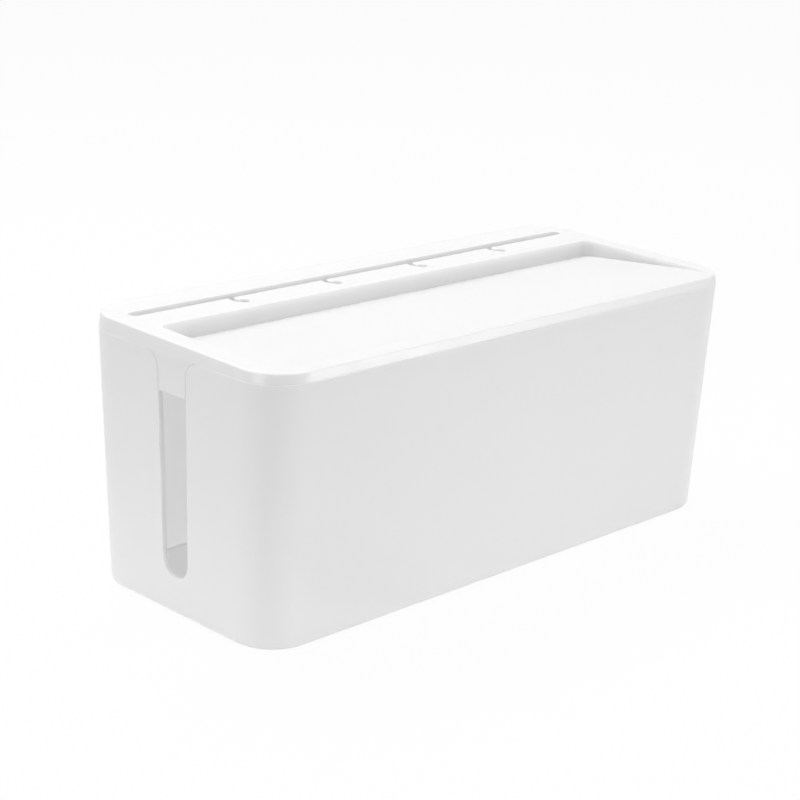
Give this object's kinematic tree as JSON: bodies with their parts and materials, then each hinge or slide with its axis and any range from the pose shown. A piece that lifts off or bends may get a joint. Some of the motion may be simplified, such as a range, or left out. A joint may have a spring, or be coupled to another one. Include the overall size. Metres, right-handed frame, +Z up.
{
  "type": "cable management box",
  "caption": "Long lidded box with rounded corners that hides a power strip; a cable port in each end, and a lid with a tray recess, a long cable slot and hook notches.",
  "frame": {"origin": "centre of the footprint, on the surface that the feet stand on", "axes": "+X along the box toward its right end, -Y toward its plain front wall, +Z up out of the lid"},
  "size_m": [0.32, 0.136, 0.133],
  "materials": {
    "white_plastic": "smooth white moulding with a soft sheen",
    "foot_rubber": "matt light grey"
  },
  "bodies": {
    "base": {"tub": "white_plastic", "foot_front_left": "foot_rubber", "foot_front_right": "foot_rubber", "foot_rear_left": "foot_rubber", "foot_rear_right": "foot_rubber"},
    "lid": {"lid": "white_plastic"}
  },
  "joints": [
    {"name": "lid_lift", "type": "slide", "parent": "base", "child": "lid", "axis": [0, 0, 1], "range_m": [0, 0.06]}
  ]
}
